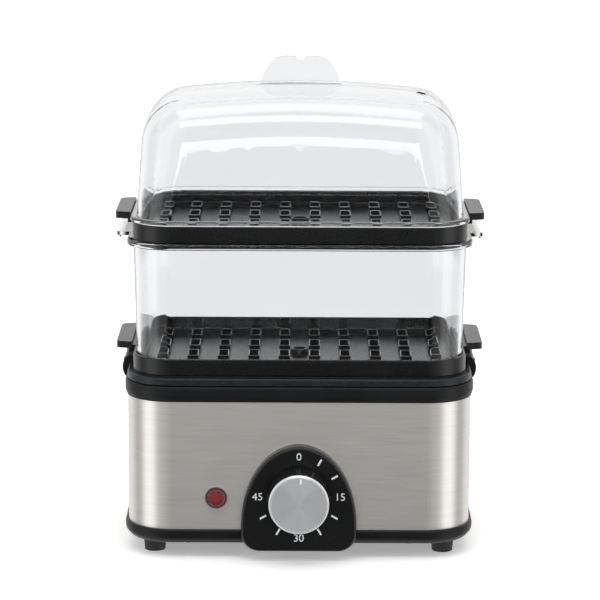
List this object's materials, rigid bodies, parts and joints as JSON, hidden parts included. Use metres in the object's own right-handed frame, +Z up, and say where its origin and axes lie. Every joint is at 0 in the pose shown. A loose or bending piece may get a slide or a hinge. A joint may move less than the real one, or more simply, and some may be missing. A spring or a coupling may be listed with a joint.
{
  "type": "egg cooker",
  "caption": "Electric egg steamer with a steel heated base, dial timer, water pan, stacked black steaming trays, a clear chamber and a clear domed lid.",
  "frame": {"origin": "centre of the footprint's bounding rectangle, on the surface the feet stand on", "axes": "+X to the right seen from the dial side, +Y from the dial side to the back, +Z up"},
  "size_m": [0.2208, 0.172, 0.2922],
  "materials": {
    "brushed_steel": "brushed round the body",
    "black_plastic": "matte",
    "black_panel": "satin",
    "tray_plastic": "satin",
    "pan_coating": "mottled non-stick coating",
    "clear_plastic": "clear, polished",
    "spun_aluminium": "turned, with a bright bevel",
    "red_lens": "red, clear",
    "rubber": "matte",
    "cast_aluminium": "cast",
    "element_steel": "heat-tinted",
    "plated_steel": "zinc plated",
    "bell_steel": "pressed",
    "fuse_silver": "bright",
    "white_ceramic": "glazed",
    "white_nylon": "matte",
    "lamp_glass": "clear",
    "brown_lead": "matte",
    "blue_lead": "matte",
    "white_lead": "matte"
  },
  "bodies": {
    "base": {"rubber_feet": "rubber", "base_tray": "black_plastic", "base_screws": "plated_steel", "steel_shell": "brushed_steel", "top_collar": "black_plastic", "heater_plate": "cast_aluminium", "heating_element": "element_steel", "heater_standoffs": "plated_steel", "heater_screws": "plated_steel", "heat_shield": "plated_steel", "thermostat": "white_ceramic", "thermal_fuse": "fuse_silver", "fuse_clamp": "plated_steel", "dial_panel": "black_panel", "panel_screws": "plated_steel", "timer_bracket": "plated_steel", "timer_body": "white_nylon", "timer_bell": "bell_steel", "indicator_lens": "red_lens", "indicator_lamp": "lamp_glass", "cord_gland": "rubber", "terminal_block": "white_nylon", "lead_live": "brown_lead", "lead_neutral": "blue_lead", "lead_timer": "white_lead", "lead_fuse": "white_lead", "lead_element": "white_lead"},
    "knob": {"timer_shaft": "plated_steel", "knob_skirt": "black_panel", "knob_cap": "spun_aluminium"},
    "water_pan": {"pan": "pan_coating", "pan_handles": "black_plastic", "handle_screws": "plated_steel"},
    "lower_tier": {"lower_tray": "tray_plastic"},
    "chamber_wall": {"chamber": "clear_plastic"},
    "upper_tier": {"upper_tray": "tray_plastic"},
    "lid_cover": {"lid": "clear_plastic"}
  },
  "joints": [
    {"name": "timer_knob", "type": "hinge", "parent": "base", "child": "knob", "pos_m": [0, -0.0685, 0.0398], "axis": [0, 1, 0], "range_deg": [-4.5, 265.5]},
    {"name": "pan_lift", "type": "slide", "parent": "base", "child": "water_pan", "axis": [0, 0, 1], "range_m": [0, 0.05]},
    {"name": "lower_tray_lift", "type": "slide", "parent": "water_pan", "child": "lower_tier", "axis": [0, 0, 1], "range_m": [0, 0.04]},
    {"name": "chamber_lift", "type": "slide", "parent": "lower_tier", "child": "chamber_wall", "axis": [0, 0, 1], "range_m": [0, 0.08]},
    {"name": "upper_tray_lift", "type": "slide", "parent": "chamber_wall", "child": "upper_tier", "axis": [0, 0, 1], "range_m": [0, 0.04]},
    {"name": "lid_lift", "type": "slide", "parent": "upper_tier", "child": "lid_cover", "axis": [0, 0, 1], "range_m": [0, 0.1]}
  ]
}
